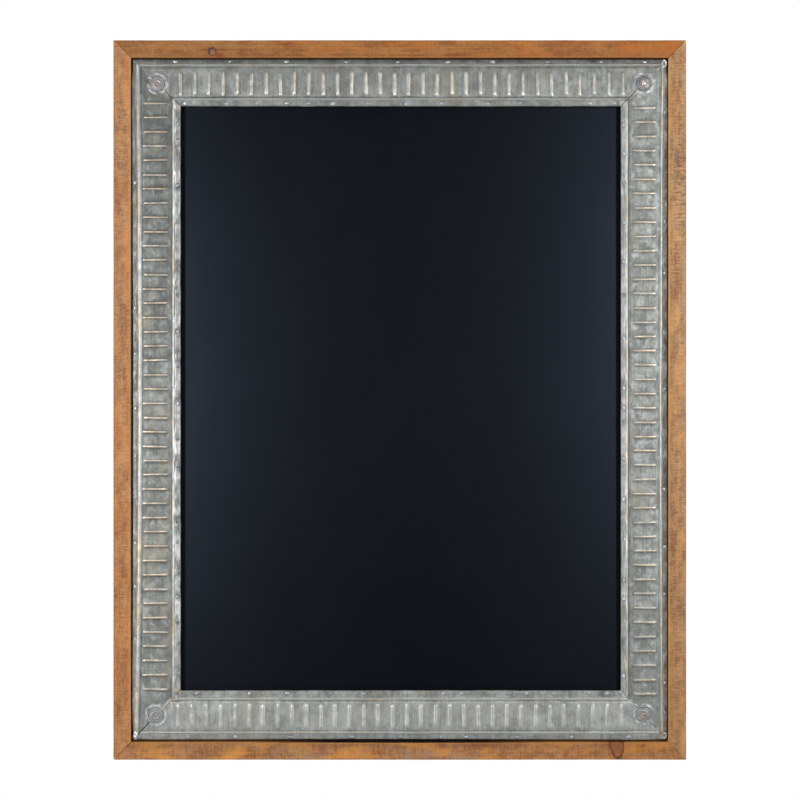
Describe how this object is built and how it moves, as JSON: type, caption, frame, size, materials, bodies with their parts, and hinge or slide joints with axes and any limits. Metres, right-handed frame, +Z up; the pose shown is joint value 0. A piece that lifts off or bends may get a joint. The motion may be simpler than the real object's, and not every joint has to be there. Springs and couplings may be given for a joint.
{
  "type": "wall chalkboard",
  "caption": "Upright wall chalkboard: black writing panel in a border of pressed metal strips, set in a mitred pine frame, with swinging hanging rings on its back.",
  "frame": {"origin": "middle of the frame's outline, on the plane of the wall that the pads rest against", "axes": "+Z up along the board's height, +Y from the board into the wall, so the writing side faces -Y, and +X to the right as seen from the front"},
  "size_m": [0.597, 0.033, 0.75],
  "materials": {
    "pine": "stained pine with a thin satin coat",
    "core_board": "bare fibreboard",
    "hardboard": "bare hardboard",
    "pressed_metal": "galvanised pressed sheet, slightly tarnished",
    "tarnished_metal": "tarnished galvanised steel",
    "bright_steel": "bright zinc-plated steel",
    "screw_steel": "zinc-plated steel",
    "hanger_steel": "nickel-plated steel",
    "chalk_paint": "matt black chalkboard paint on hardboard",
    "pad_rubber": "black rubber"
  },
  "bodies": {
    "board": {"top_rail": "pine", "right_rail": "pine", "bottom_rail": "pine", "left_rail": "pine", "core_rail_top": "core_board", "core_rail_right": "core_board", "core_rail_bottom": "core_board", "core_rail_left": "core_board", "metal_strip_top": "pressed_metal", "metal_strip_right": "pressed_metal", "metal_strip_bottom": "pressed_metal", "metal_strip_left": "pressed_metal", "corner_cap_top_right": "tarnished_metal", "corner_cap_bottom_right": "tarnished_metal", "corner_cap_bottom_left": "tarnished_metal", "corner_cap_top_left": "tarnished_metal", "corner_nail_top_right": "bright_steel", "corner_nail_bottom_right": "bright_steel", "corner_nail_bottom_left": "bright_steel", "corner_nail_top_left": "bright_steel", "writing_panel": "chalk_paint", "back_board": "hardboard", "v_nail_top_right": "bright_steel", "v_nail_bottom_right": "bright_steel", "v_nail_bottom_left": "bright_steel", "v_nail_top_left": "bright_steel", "retainer_point_top_1": "bright_steel", "retainer_point_top_2": "bright_steel", "retainer_point_right_1": "bright_steel", "retainer_point_right_2": "bright_steel", "retainer_point_bottom_1": "bright_steel", "retainer_point_bottom_2": "bright_steel", "retainer_point_left_1": "bright_steel", "retainer_point_left_2": "bright_steel", "back_screw_1": "screw_steel", "back_screw_2": "screw_steel", "back_screw_3": "screw_steel", "back_screw_4": "screw_steel", "back_screw_5": "screw_steel", "back_screw_6": "screw_steel", "back_screw_7": "screw_steel", "back_screw_8": "screw_steel", "hanger_screw_left_1": "screw_steel", "hanger_screw_left_2": "screw_steel", "hanger_screw_right_1": "screw_steel", "hanger_screw_right_2": "screw_steel", "hanger_strap_left": "hanger_steel", "hanger_strap_right": "hanger_steel", "wall_pad_top_right": "pad_rubber", "wall_pad_bottom_right": "pad_rubber", "wall_pad_bottom_left": "pad_rubber", "wall_pad_top_left": "pad_rubber"},
    "left_ring": {"hanging_ring_left": "hanger_steel"},
    "right_ring": {"hanging_ring_right": "hanger_steel"}
  },
  "joints": [
    {"name": "left_ring_hinge", "type": "hinge", "parent": "board", "child": "left_ring", "pos_m": [-0.25335, -0.0126, 0.165], "axis": [-1, 0, 0], "range_deg": [0, 175]},
    {"name": "right_ring_hinge", "type": "hinge", "parent": "board", "child": "right_ring", "pos_m": [0.25335, -0.0126, 0.165], "axis": [-1, 0, 0], "range_deg": [0, 175]}
  ]
}
